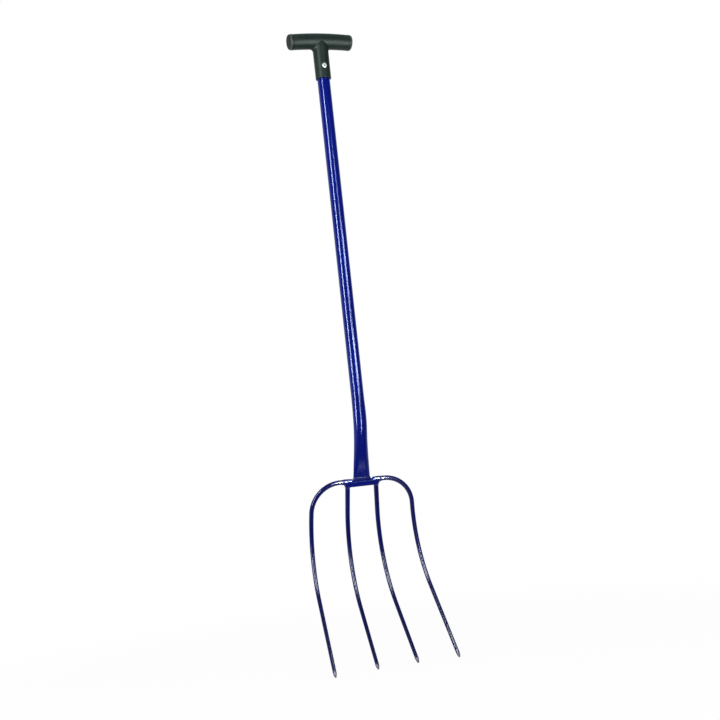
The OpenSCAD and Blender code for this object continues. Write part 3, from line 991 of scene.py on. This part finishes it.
@dataclass(frozen=True)
class Welds:
    """The weld beads of the head, rippled as they were laid, in millimetres.

    A leg runs up a wall and a reach along the bar. Fat is how full a bead's face is, a core is how deep
    the point lies that its hidden side sinks towards, and a phase shifts its ripples. The lap fields
    shape the noses of the outer beads over the bar, and the under fields the fillets below them.
    """

    head: Head
    foot_leg: float = 6.5
    foot_reach: float = 3.0
    foot_core: float = 4.0
    foot_fat: Span = (0.4, 0.8)
    foot_sides: int = 240
    inner_leg: float = 3.0
    inner_climb: float = 1.4
    inner_spread: float = 2.7
    inner_ease: float = 0.85
    inner_ease_rate: float = 1.5
    inner_core: float = 1.0
    inner_fat: float = 0.24
    inner_phase: float = 0.3
    inner_sides: int = 120
    outer_reach: float = 5.0
    outer_lap: float = 13.5
    left_lap_more: float = 2.5
    outer_swell: float = 0.525
    outer_sink: float = 0.1
    outer_phase: float = 0.4
    outer_rows: int = 30
    outer_sides: int = 96
    crest_girth: float = 1.2
    crest_mean: float = 0.6
    lap_end_r: float = 0.9
    lap_top_r: float = 4.75
    lap_round: float = 2.0
    lap_rows: int = 12
    under_r: float = 7.0
    under_half: float = 4.0
    under_full: float = 1.02
    under_tuck: float = 0.4
    under_sink: float = 1.6
    under_top: float = 2.4
    under_rows: int = 25
    under_sides: int = 18
    ripple: float = 0.16
    pitch: float = 2.3
    tooth_lean: float = 0.9
    tooth_power: float = 1.6
    sink: float = 0.5
    face_rows: int = 14

    def ripples(self, along: Array, across: Array, phase: float) -> Array:
        """Crescents along a bead, 0 to 1.

        Formula: one minus the size of a saw tooth to a power; the tooth leans back towards the edges.

        Args:
            along: distance along the bead.
            across: place across the bead, 0 to 1.
            phase: shift of the crescents.

        Returns:
            Height of the crescents.
        """
        tooth = (along / self.pitch + self.tooth_lean * np.square(2 * across - 1) + phase) % 1.0
        return 1.0 - np.power(np.abs(2 * tooth - 1), self.tooth_power)

    def bead(
        self, low: Array, corner: Array, high: Array, centre: Array, fat: Array | float, phase: float
    ) -> Shell:
        """A rippled fillet whose face bulges between two rings that meet at a corner.

        Formula: a quadratic arc from low to high with its control point near the corner, lifted away
        from the corner by the ripples; behind, the loop closes through points sunk into the parts.

        Args:
            low: ring where the face starts.
            corner: ring of the corner that the weld fills.
            high: ring where the face ends.
            centre: point towards which the hidden side is sunk.
            fat: how far the control point stands out of the corner: 0 hollow, 0.5 flat, more is full.
            phase: shift of the ripples.

        Returns:
            A ring of closed profiles.
        """
        t = np.linspace(0, 1, self.face_rows)[:, None, None]
        middle = (low + high) / 2
        control = corner + (middle - corner) * 2 * fat
        face = (1 - t) ** 2 * low + 2 * t * (1 - t) * control + t**2 * high
        step = np.linalg.norm(np.roll(middle, -1, axis=0) - middle, axis=-1)
        along = np.concatenate([[0.0], np.cumsum(step)[:-1]])
        whole = float(step.sum())
        along = along * (round(whole / self.pitch) * self.pitch / whole)
        lift = self.ripple * np.sin(math.pi * t) * self.ripples(along[None, :, None], t, phase)
        out = middle - corner
        out = out / np.linalg.norm(out, axis=-1, keepdims=True)
        face = face + lift * out
        hidden = np.stack([high, corner, low])
        inward = centre - hidden
        sunk = hidden + inward / np.linalg.norm(inward, axis=-1, keepdims=True) * self.sink
        return Shell(np.concatenate([face, sunk]), ring_of_rings=True)

    def mirrored(self, points: Array, side: Side) -> Array:
        """Points drawn for the right half, mirrored for the left with their rows the other way round."""
        return points if side is Side.RIGHT else (points * np.array([-1.0, 1.0, 1.0]))[::-1]

    def foot(self) -> None:
        """The fillet round the tube's foot, from its toe on the bar up to the tube's wall.

        Formula: level ovals; the bead is fuller on the tube's flats than at its ends.
        """
        head, shaft = self.head, self.head.shaft
        turn = angles(self.foot_sides)
        top = head.bar_h / 2

        def oval(half_w: float, half_d: float, z: float) -> Array:
            """A level oval ring."""
            x, y = half_w * np.cos(turn), half_d * np.sin(turn)
            return np.stack([x, y, np.full_like(turn, z)], axis=-1)

        deep = shaft.half_depth(np.array([shaft.sweep_len, shaft.sweep_len - self.foot_leg]))
        wide = shaft.half_width(deep)
        toe = oval(wide[0] + self.foot_reach, head.bar_depth / 2 - head.bar_edge_r, top)
        corner = oval(wide[0], deep[0], top)
        wall = oval(wide[1], deep[1], top + self.foot_leg)
        lean, full = self.foot_fat
        fat = (lean + (full - lean) * np.abs(np.sin(turn)))[:, None]
        shell = self.bead(toe, corner, wall, np.array([0.0, 0.0, top - self.foot_core]), fat, 0.0)
        shell.points = head.placed(shell.points)
        Piece("tube_foot_weld", "foot_weld", Slot.WELD, FOOT_WELD_ENAMEL).build(shell)

    def inner(self, side: Side) -> None:
        """The fillet round an inner tine, from the tine's wall up to its toe on the bar's eased edge.

        Formula: the toe's spread eases down towards the bar's end, where the outer weld takes over.

        Args:
            side: which half it stands on.
        """
        head = self.head
        turn = angles(self.inner_sides)
        under = -head.bar_h / 2

        def ring(radius: Array | float, z: float) -> Array:
            """A level ring round the tine."""
            x = head.inner_x + radius * np.cos(turn)
            return np.stack([x, radius * np.sin(turn), np.full_like(turn, z)], axis=-1)

        wall = ring(head.root_r * head.slim, under - self.inner_leg)
        corner = ring(head.root_r * head.slim, under)
        spread = self.inner_spread * (1 - self.inner_ease * smooth(self.inner_ease_rate * np.cos(turn)))
        toe = ring(head.root_r + spread, under + self.inner_climb)
        centre = np.array([head.inner_x, 0.0, under + self.inner_core])
        shell = self.bead(wall, corner, toe, centre, self.inner_fat, side.value * self.inner_phase)
        shell.points = head.placed(self.mirrored(shell.points, side))
        name, node = f"inner_weld_{side.word}", f"weld_inner_{side.word}"
        Piece(name, node, Slot.WELD, WELD_ENAMEL).build(shell)

    def outer(self, side: Side) -> None:
        """The swelling that ties an outer tine to the bar's end, and the fillet in the corner below it.

        Args:
            side: which half it stands on.
        """
        shells = [self.swelling(side), self.saddle()]
        for shell in shells:
            shell.points = self.head.placed(self.mirrored(shell.points, side))
        name, node = f"outer_weld_{side.word}", f"weld_outer_{side.word}"
        Piece(name, node, Slot.WELD, WELD_ENAMEL).build(*shells)

    def swelling(self, side: Side) -> Shell:
        """The bead round an outer tine's root.

        Formula: a round section about the tine's axis. Its radius starts as a quarter oval over the bar,
        rises evenly to the tine's and swells over the joint; ripples run round it.

        Args:
            side: which half it stands on; the left bead laps further over the bar.

        Returns:
            The bead, drawn for the right half.
        """
        head = self.head
        lap = self.outer_lap + (self.left_lap_more if side is Side.LEFT else 0.0)
        start = self.lap_round - lap
        nose = start - self.lap_round * np.cos(np.linspace(0, QUARTER, self.lap_rows)[:-1])
        x = np.concatenate([nose, np.linspace(start, self.outer_reach, self.outer_rows)])
        u = (x + lap) / (lap + self.outer_reach)
        lump = smooth(np.minimum((x + lap) / lap, (self.outer_reach - x) / self.outer_reach))
        end = np.sqrt(1 - np.square(np.clip((start - x) / self.lap_round, 0, 1)))
        rise = np.clip((x - start) / -start, 0, 1)
        radius = self.lap_end_r + (self.lap_top_r - self.lap_end_r) * end
        rest = head.root_r - self.outer_sink - self.lap_top_r
        radius = radius + rest * rise + self.outer_swell * lump
        turn = angles(self.outer_sides)
        girth = turn[None, :] * head.root_r * self.crest_girth
        crest = self.ripples(girth, u[:, None], side.value * self.outer_phase)
        swell = radius[:, None] + self.ripple * lump[:, None] * (crest - self.crest_mean)
        across = np.broadcast_to(x[:, None], swell.shape)
        ring = np.stack([across, swell * np.cos(turn), swell * np.sin(turn)], axis=-1)
        return Shell(ring + np.array([head.bar_len / 2, 0.0, head.outer_rise]))

    def saddle(self) -> Shell:
        """The fillet under an outer tine.

        Formula: a hollow quarter circle from the inner tine's side up to the outer tine. Its radius
        shrinks as a circle does towards its front and back edges, and the rest of the loop is sunk into
        bar and tines.

        Returns:
            The fillet, drawn for the right half.
        """
        head = self.head
        y = self.under_half * np.sin(np.linspace(-QUARTER, QUARTER, self.under_rows))
        round_off = np.clip(self.under_full - np.square(y / self.under_half), 0, 1)
        reach = self.under_r * np.sqrt(round_off)[:, None]
        bend = np.linspace(math.pi, QUARTER, self.under_sides)
        back = np.zeros_like(reach) - self.under_sink
        top = np.zeros_like(reach) + self.under_top
        face = reach * (1 + np.cos(bend)) - self.under_tuck * (1 - np.sin(bend))
        x = np.concatenate([face, reach, back, back], axis=1) + head.bar_len / 2
        z = np.concatenate([reach * (np.sin(bend) - 1), top, top, -reach], axis=1)
        z = z + head.outer_rise - head.root_r
        return Shell(np.stack([x, np.broadcast_to(y[:, None], x.shape), z], axis=-1))

    def build(self) -> None:
        """Builds the five beads."""
        self.foot()
        for side in Side:
            self.inner(side)
            self.outer(side)


@dataclass(frozen=True)
class Grip:
    """The moulded T grip with its end caps and rivet, in millimetres.

    The groove's rings are an inset and a height on the cap. The rings of the rivet's hole and of its
    stem's torn end are a radius and a depth under the head's top.
    """

    axis_z: float = 436.0
    body_len: float = 123.0
    bow: float = 2.3
    middle_r: float = 16.05
    end_r: float = 15.6
    lip_w: float = 3.6
    lip_h: float = 0.4
    lip_rows: int = 14
    body_rows: int = 70
    socket_len: float = 76.0
    rim_r: float = 15.6
    rim_edge: float = 0.7
    rim_rows: int = 6
    top_r: float = 15.75
    bore_r: float = 12.85
    bore_top: float = -30.0
    bore_edge: Span = (0.4, 0.5)
    fillet: float = 6.5
    fillet_least: float = 0.45
    fillet_rows: int = 20
    wall_rows: int = 70
    bury_share: float = 0.9
    bury_rise: float = 3.0
    seat_r: float = 5.2
    seat_edge: float = 0.7
    cap_t: float = 4.95
    cap_edge_r: float = 4.0
    cap_edge_rows: int = 14
    cap_dome: float = 0.25
    cap_dome_rows: int = 9
    cap_pole: float = 0.02
    cap_groove: tuple[Span, Span] = ((0.45, 0.02), (0.3, 0.3))
    plug_r: float = 12.4
    plug_len: float = 10.0
    rivet_drop: float = 52.0
    rivet_sides: int = 64
    head_r: float = 4.8
    head_h: float = 1.5
    head_edge: float = 0.35
    head_chamfer: float = 0.15
    head_rows: int = 12
    shank_r: float = 2.35
    shank_len: float = 4.0
    hole: tuple[Span, ...] = ((1.42, 0.1), (1.34, 0.35), (1.34, 1.6))
    stem_r: float = 1.3
    stem_sides: int = 40
    stem_end: tuple[Span, ...] = ((1.3, 0.9), (1.1, 0.75), (0.65, 0.7), (0.13, 0.82))
    sides: int = 128

    @property
    def bow_r(self) -> float:
        """Radius of the bowed line: half the length squared plus the bow squared, over twice the bow."""
        half = self.body_len / 2
        return (half**2 + self.bow**2) / (2 * self.bow)

    @property
    def seat_y(self) -> float:
        """How far the rivet's seat lies in front of the axis: a chord of the rim as wide as the seat."""
        return math.sqrt(self.rim_r**2 - self.seat_r**2)

    def bar_r(self, x: Array) -> Array:
        """Radius of the hand bar.

        Formula: a shallow barrel, as a parabola to the ends, with a half-round lip at each end.

        Args:
            x: place along the bar.

        Returns:
            Radius at each place.
        """
        barrel = self.middle_r + (self.end_r - self.middle_r) * np.square(2 * x / self.body_len)
        from_end = self.body_len / 2 - np.abs(x)
        lip = np.sqrt(np.clip(1 - np.square(2 * from_end / self.lip_w - 1), 0, 1))
        return barrel + self.lip_h * lip

    def bar_middle(self, x: Array) -> Array:
        """Height of the bar's bowed middle line: an arc that is highest at the shaft."""
        return self.axis_z + self.bow - self.bow_r + np.sqrt(self.bow_r**2 - np.square(x))

    def bar_shell(self) -> Shell:
        """The hand bar: rings of the barrel carried along the bowed line.

        Returns:
            The bar's shell.
        """
        half = self.body_len / 2
        near = np.linspace(0, self.lip_w, self.lip_rows)
        between = np.linspace(self.lip_w - half, half - self.lip_w, self.body_rows)[1:-1]
        x = np.concatenate([near - half, between, half - near[::-1]])
        lean = np.arcsin(x / self.bow_r)
        none = np.zeros_like(x)
        path = np.stack([x, none, self.bar_middle(x)], axis=-1)
        across = np.tile([0.0, 1.0, 0.0], (len(x), 1))
        up = np.stack([np.sin(lean), none, np.cos(lean)], axis=-1)
        radius = self.bar_r(x)
        return Shell(carried(path, across, up, radius, radius, self.sides))

    def socket_shell(self) -> Shell:
        """The socket: its bore, rim and wall, and the fillet that runs out along the hand bar.

        Formula: rings round the shaft's axis. Above the wall each point moves along X by a quarter wave
        while it climbs by a quarter wave to the bar's underside, so it leaves the wall upright and meets
        the bar level. The front is flattened to a seat under the rivet.

        Returns:
            The socket's shell.
        """
        turn = angles(self.sides)
        cos, sin = np.cos(turn), np.sin(turn)
        rim = -self.socket_len
        x_end = (self.top_r + self.fillet * np.abs(cos)) * cos
        y_end = self.top_r * sin
        under = np.sqrt(np.clip(np.square(self.bar_r(x_end)) - np.square(y_end), 0, None))
        z_end = self.bar_middle(x_end) - self.axis_z - under
        climb = self.fillet * (self.fillet_least + (1 - self.fillet_least) * np.abs(cos))
        edge_r, edge_z = self.bore_edge
        bore = [[self.bore_r, self.bore_top], [self.bore_r, rim + edge_z], [self.bore_r + edge_r, rim]]
        bend = np.linspace(0, QUARTER, self.rim_rows)
        edge = np.stack([1 - np.sin(bend), 1 - np.cos(bend)], axis=-1) * self.rim_edge
        edge = np.array([self.rim_r, rim]) + edge * np.array([-1.0, 1.0])
        lower = np.concatenate([bore, edge])[:, :, None]
        rows = np.stack([lower[:, 0] * cos, lower[:, 0] * sin, lower[:, 1] + np.zeros_like(cos)], axis=-1)
        share = np.linspace(0, 1, self.wall_rows)[1:, None]
        wall_r = self.rim_r + (self.top_r - self.rim_r) * share
        wall_z = rim + self.rim_edge + (z_end - climb - rim - self.rim_edge) * share
        wall = np.stack([wall_r * cos, wall_r * sin, wall_z], axis=-1)
        t = np.linspace(0, QUARTER, self.fillet_rows)[1:, None]
        start_x = self.top_r * cos
        flare_x = start_x + (x_end - start_x) * (1 - np.cos(t))
        flare_z = z_end - climb + climb * np.sin(t)
        flare = np.stack([flare_x, np.broadcast_to(y_end, flare_x.shape), flare_z], axis=-1)
        inside = [x_end * self.bury_share, y_end * self.bury_share, z_end + self.bury_rise]
        points = np.concatenate([rows, wall, flare, np.stack(inside, axis=-1)[None]])
        beside = np.hypot(points[..., 0], points[..., 2] + self.rivet_drop)
        flat = smooth((self.seat_r + self.seat_edge - beside) / self.seat_edge)
        press = flat * (points[..., 1] < -self.seat_y)
        points[..., 1] += (-self.seat_y - points[..., 1]) * press
        points[..., 2] += self.axis_z
        return Shell(points)

    def moulding(self) -> None:
        """The hand bar and the socket as one moulding."""
        grip = Piece("moulded_grip", "grip", Slot.GRIP, GRIP_PLASTIC)
        grip.build(self.bar_shell(), self.socket_shell())

    def turned(self, profile: Array, foot: Array, across: Array, front: Array, sides: int) -> Shell:
        """Turns a profile about the line from foot along across x front.

        Formula: each ring is a circle of the profile's radius, carried up the line to its height.

        Args:
            profile: radius and height of each ring.
            foot: where the line starts.
            across: unit vector square to the line.
            front: unit vector square to both.
            sides: points round a ring.

        Returns:
            The turned shell.
        """
        radius, count = profile[:, 0], len(profile)
        path = foot + profile[:, 1:] * np.cross(across, front)
        wide, deep = np.tile(across, (count, 1)), np.tile(front, (count, 1))
        return Shell(carried(path, wide, deep, radius, radius, sides))

    def cap(self, side: Side) -> None:
        """An end cap: its plug, a groove at the joint, a round edge and a slightly domed face.

        Formula: a turned profile, with a quarter circle for the edge and a parabola for the face.

        Args:
            side: which end of the bar it closes.
        """
        lean = math.asin(self.body_len / 2 / self.bow_r)
        up = np.array([side.value * math.sin(lean), 0.0, math.cos(lean)])
        foot = np.array([0.0, 0.0, self.axis_z + self.bow - self.bow_r]) + self.bow_r * up
        back = np.array([0.0, 1.0, 0.0])
        axes = (back, up) if side is Side.RIGHT else (up, back)
        plug = [[self.plug_r, -self.plug_len], [self.plug_r, 0.0]]
        groove = [[self.end_r - inset, height] for inset, height in self.cap_groove]
        bend = np.linspace(0, QUARTER, self.cap_edge_rows)
        edge_r, flat_r = self.cap_edge_r, self.end_r - self.cap_edge_r
        edge_z = self.cap_t - self.cap_dome - edge_r
        edge = np.stack([flat_r + edge_r * np.cos(bend), edge_z + edge_r * np.sin(bend)], axis=-1)
        out = np.linspace(1, self.cap_pole, self.cap_dome_rows)[1:]
        dome = np.stack([flat_r * out, self.cap_t - self.cap_dome * np.square(out)], axis=-1)
        profile = np.concatenate([plug, groove, edge, dome])
        name, node = f"end_cap_{side.word}", f"grip_end_cap_{side.word}"
        Piece(name, node, Slot.CAP, CAP_PLASTIC).build(self.turned(profile, foot, *axes, self.sides))

    def rivet(self) -> None:
        """The rivet's head with its sunk, broken stem: turned profiles that point to the front.

        Formula: the head's dome is a quarter sine wave from its rim up to the edge of its hole.
        """
        foot = np.array([0.0, 0.0, self.axis_z - self.rivet_drop])
        axes = (np.array([1.0, 0.0, 0.0]), np.array([0.0, 0.0, 1.0]))
        seat, top = self.seat_y, self.seat_y + self.head_h
        low = seat - self.shank_len
        shank = [[self.shank_r, low], [self.shank_r, seat]]
        rim = [[self.head_r - self.head_chamfer, seat], [self.head_r, seat + self.head_chamfer]]
        lift = np.linspace(0, 1, self.head_rows)
        dome_r = self.head_r + (self.stem_r + self.head_edge - self.head_r) * lift
        dome_z = seat + self.head_edge + (self.head_h - self.head_edge) * np.sin(lift * QUARTER)
        hole = [[radius, top - depth] for radius, depth in self.hole]
        body = np.concatenate([shank, rim, np.stack([dome_r, dome_z], axis=-1), hole])
        head = Piece("rivet_head", "rivet_body", Slot.RIVET, RIVET_ALLOY)
        head.build(self.turned(body, foot, *axes, self.rivet_sides))
        stem = np.array([[self.stem_r, low]] + [[radius, top - depth] for radius, depth in self.stem_end])
        broken = Piece("broken_stem", "rivet_stem", Slot.STEM, STEM_STEEL)
        broken.build(self.turned(stem, foot, *axes, self.stem_sides))

    def build(self) -> None:
        """Builds the moulding, both caps and the rivet."""
        self.moulding()
        for side in Side:
            self.cap(side)
        self.rivet()


ROOTS = ("outer_tine_left", "outer_tine_right", "outer_weld_left", "outer_weld_right")
TUBE = ("painted_tube",)
HEAD_SPOT: Point = (0.0, 0.03, -0.45)
CRANK_SPOT: Point = (0.0, 0.0, -0.33)
FOOT_SPOT: Point = (0.0, 0.012, -0.414)


class Sees(Enum):
    """Which rays meet a lamp."""

    GLOSS = "gloss"
    DIFFUSE = "diffuse"


@dataclass(frozen=True)
class Strip:
    """One soft light: its two ends, its width and its strength, in metres and watts.

    It faces its aim, spread is the angle of its beam, and only names the pieces that it lights alone.
    """

    name: str
    low: Point
    high: Point
    width: float
    watts: float
    seen_by: Sees
    aim: Point = (0.0, 0.0, 0.0)
    only: tuple[str, ...] = ()
    spread: float = math.pi


@dataclass(frozen=True)
class Studio:
    """Floor, lights, world and camera, in metres.

    The behind fields are where a reflection turns from dark in front of the fork to white behind it.
    """

    eye: Point = (-0.8095, -2.3155, -0.4208)
    turn: Point = (1.45081, -0.33101, 0.18937)
    lens_mm: float = 62.5
    sensor_mm: float = 36.0
    far_clip: float = 50.0
    floor_z: float = -0.8
    floor_half: float = 4.0
    floor_tones: tuple[Tint, Tint] = ((0.76, 0.76, 0.77, 1.0), (0.8, 0.8, 0.8, 1.0))
    floor_cloud: Grain = Grain(0.4, 3.0)
    floor_rough: float = 0.9
    floor_glow: float = 0.92
    floor_white_from: Span = (0.9, 1.6)
    floor_behind: Span = (-0.5, 0.1)
    sky_behind: Span = (-0.1, 0.6)
    sky: Colour = (0.84, 0.93, 1.0)
    ambient: float = 0.62
    front_tone: float = 0.05
    strips: tuple[Strip, ...] = (
        Strip("left_strip", (-1.697, -0.601, -0.3), (-1.26, -1.28, 0.93), 0.16, 60.0, Sees.GLOSS),
        Strip("front_low", (0.142, -1.15, -0.315), (0.186, -1.145, 0.1), 0.1, 8.1, Sees.GLOSS),
        Strip("front_high", (0.186, -1.145, 0.1), (0.233, -1.135, 0.52), 0.1, 4.4, Sees.GLOSS),
        Strip("front_box", (0.2, -0.75, 0.12), (0.42, -0.75, 0.12), 0.17, 4.2, Sees.GLOSS),
        Strip("near_box", (0.15, -0.6, -0.15), (0.37, -0.6, -0.15), 0.13, 3.8, Sees.GLOSS),
        Strip(
            "head_box", (0.025, -0.24, -0.462), (0.14, -0.24, -0.462), 0.03, 2.0, Sees.GLOSS,
            aim=HEAD_SPOT, only=ROOTS, spread=1.05,
        ),
        Strip(
            "left_foot", (-0.754, -0.267, -0.3), (-0.754, -0.267, -0.48), 0.07, 3.0, Sees.GLOSS,
            aim=CRANK_SPOT, only=TUBE,
        ),
        Strip(
            "front_foot", (0.061, -0.496, -0.32), (0.061, -0.496, -0.57), 0.045, 2.0, Sees.GLOSS,
            aim=CRANK_SPOT, only=TUBE,
        ),
        Strip(
            "floor_card", (-0.22, -0.48, -0.79), (0.42, -0.38, -0.79), 0.02, 0.17, Sees.GLOSS,
            aim=FOOT_SPOT, only=TUBE,
        ),
        Strip("top_soft", (-0.8, -0.6, 2.3), (0.8, -0.6, 2.3), 1.4, 24.0, Sees.DIFFUSE),
        Strip("key_soft", (-1.6, -1.9, 0.9), (-1.3, -1.5, 2.1), 1.5, 38.0, Sees.DIFFUSE),
    )

    def camera(self) -> None:
        """Sets the camera where it stood for the photograph.

        Formula: the turn vector gives the rotation from the fork's frame to right, down and forward;
        Blender's camera looks along its own -Z with +Y up.
        """
        turn = Vector(self.turn)
        right, down, ahead = Matrix.Rotation(turn.length, 3, turn.normalized())
        basis = Matrix((right, -down, -ahead)).transposed()
        data = bpy.data.cameras.new("photo_camera")
        data.lens = self.lens_mm
        data.sensor_width = self.sensor_mm
        data.clip_end = self.far_clip
        made = bpy.data.objects.new("photo_camera", data)
        made.matrix_world = Matrix.Translation(self.eye) @ basis.to_4x4()
        bpy.context.scene.collection.objects.link(made)
        bpy.context.scene.camera = made

    def rays(self, bench: ShaderBench) -> list[Value]:
        """Whether a ray comes from the camera, from a reflection or through glass."""
        path, kinds = bench.node("ShaderNodeLightPath"), ("Camera", "Glossy", "Transmission")
        return [Value(bench, path.outputs[f"Is {kind} Ray"]) for kind in kinds]

    def in_mirror(self, behind: Value) -> Value:
        """The tone that a reflection shows: white behind the fork, dark in front of it."""
        return behind * (1.0 - self.front_tone) + self.front_tone

    def floor_paint(self) -> bpy.types.Material:
        """The floor's material: pale paint that keeps the shadow, and a white for camera and mirrors.

        Formula: to the camera the white's share grows with the distance from the fork until it is whole.

        Returns:
            The material.
        """
        paint = bpy.data.materials.new("pale_floor")
        paint.use_nodes = True
        bench = ShaderBench(paint.node_tree)
        tone = bench.blend(bench.noise(self.floor_cloud), *self.floor_tones)
        looks = {"Base Color": tone, "Roughness": self.floor_rough}
        shader = bench.node("ShaderNodeBsdfPrincipled", None, looks)
        camera, glossy, through = self.rays(bench)
        shown = self.in_mirror(bench.axis("Y").eased(*self.floor_behind)).most(camera)
        glow = bench.node("ShaderNodeEmission", None, {"Color": shown})
        away = bench.out("ShaderNodeVectorMath", {"operation": "LENGTH"}, {0: bench.place()}, "Value")
        white = away.eased(*self.floor_white_from) * (1.0 - self.floor_glow) + self.floor_glow
        share = (camera * white).most(glossy).most(through)
        mixed = {0: share, 1: shader.outputs["BSDF"], 2: glow.outputs["Emission"]}
        surface = bench.node("ShaderNodeMixShader", None, mixed)
        bench.node("ShaderNodeOutputMaterial", None, {"Surface": surface.outputs[0]})
        paint.cycles.emission_sampling = "NONE"
        return paint

    def floor(self) -> None:
        """Lays a plain pale floor under the points."""
        half = self.floor_half
        square = [(-half, -half), (half, -half), (half, half), (-half, half)]
        mesh = bpy.data.meshes.new("pale_floor")
        mesh.from_pydata([(x, y, self.floor_z) for x, y in square], [], [(0, 1, 2, 3)])
        mesh.materials.append(self.floor_paint())
        made = bpy.data.objects.new("pale_floor", mesh)
        bpy.context.scene.collection.objects.link(made)

    def world(self) -> None:
        """White to the camera, white behind and dark in front to a reflection, and an even soft light."""
        made = bpy.data.worlds.new("studio_white")
        bpy.context.scene.world = made
        made.use_nodes = True
        made.cycles.sampling_method = "NONE"
        bench = ShaderBench(made.node_tree)
        camera, glossy, through = self.rays(bench)
        facing = bench.out("ShaderNodeTexCoord", None, None, "Generated")
        back = bench.out("ShaderNodeSeparateXYZ", None, {0: facing}, "Y")
        shown = self.in_mirror(back.eased(*self.sky_behind))
        mirror = glossy.most(through)
        strength = (mirror * (shown - self.ambient) + self.ambient).most(camera)
        tone = bench.blend(mirror, WHITE, (*self.sky, 1.0))
        shade = bench.node("ShaderNodeBackground", None, {"Color": tone, "Strength": strength})
        bench.node("ShaderNodeOutputWorld", None, {"Surface": shade.outputs[0]})

    def light(self, strip: Strip) -> None:
        """Hangs one strip light between its two ends, facing its aim.

        Args:
            strip: the light.
        """
        low, high = Vector(strip.low), Vector(strip.high)
        middle, along = (low + high) / 2, (high - low).normalized()
        back = middle - Vector(strip.aim)
        back = (back - along * back.dot(along)).normalized()
        data = bpy.data.lights.new(strip.name, "AREA")
        data.shape = "RECTANGLE"
        data.size = strip.width
        data.size_y = (high - low).length
        data.energy = strip.watts
        data.spread = strip.spread
        made = bpy.data.objects.new(strip.name, data)
        basis = Matrix((along.cross(back), along, back)).transposed()
        made.matrix_world = Matrix.Translation(middle) @ basis.to_4x4()
        made.visible_camera = False
        made.visible_diffuse = strip.seen_by is Sees.DIFFUSE
        made.visible_glossy = strip.seen_by is Sees.GLOSS
        bpy.context.scene.collection.objects.link(made)
        if strip.only:
            lit = bpy.data.collections.new(f"lit_by_{strip.name}")
            for name in strip.only:
                lit.objects.link(bpy.data.objects[name])
            made.light_linking.receiver_collection = lit

    def build(self) -> None:
        """Builds the stage and sets the plain view."""
        self.floor()
        self.world()
        for strip in self.strips:
            self.light(strip)
        self.camera()
        bpy.context.scene.view_settings.view_transform = "Standard"


def main() -> None:
    """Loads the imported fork, dresses it piece by piece and lights it."""
    logging.basicConfig(level=logging.INFO, format="%(name)s: %(message)s")
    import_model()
    shaft = Shaft()
    head = Head(shaft)
    shaft.build()
    head.build()
    Welds(head).build()
    Grip().build()
    Studio().build()


if __name__ == "__main__":
    main()
